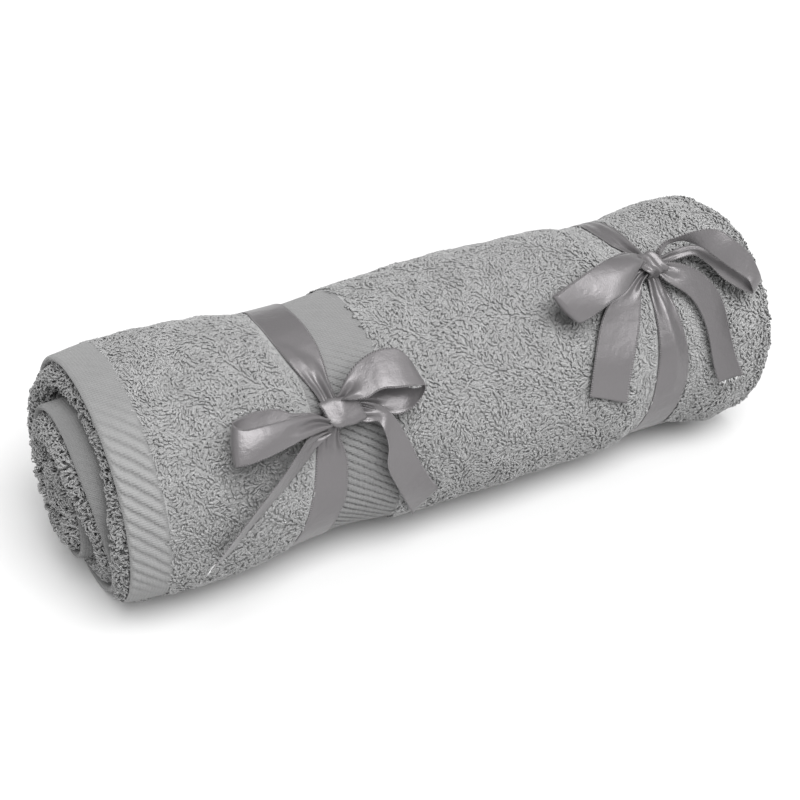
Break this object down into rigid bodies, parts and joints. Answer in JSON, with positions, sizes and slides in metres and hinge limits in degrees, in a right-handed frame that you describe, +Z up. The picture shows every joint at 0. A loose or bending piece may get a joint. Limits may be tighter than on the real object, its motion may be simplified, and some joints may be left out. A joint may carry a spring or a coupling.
{
  "type": "rolled hand towel tied with ribbons",
  "caption": "Terry hand towel folded lengthwise, wound into a soft roll with a hemmed end and a folded end, and tied with satin ribbon bows.",
  "frame": {"origin": "on the surface that the roll rests on, under the middle of the whole part", "axes": "+X along the roll from the hemmed end to the folded end, +Z up, the bows and the loose edge on the -Y side"},
  "size_m": [0.333, 0.1298, 0.1215],
  "materials": {
    "terry_cotton": "looped cotton pile, matte, with flat woven hem and ribbed border",
    "satin_ribbon": "satin weave, soft sheen"
  },
  "bodies": {
    "root": {"towel_roll": "terry_cotton", "ribbon_left": "satin_ribbon", "ribbon_right": "satin_ribbon"}
  },
  "joints": []
}
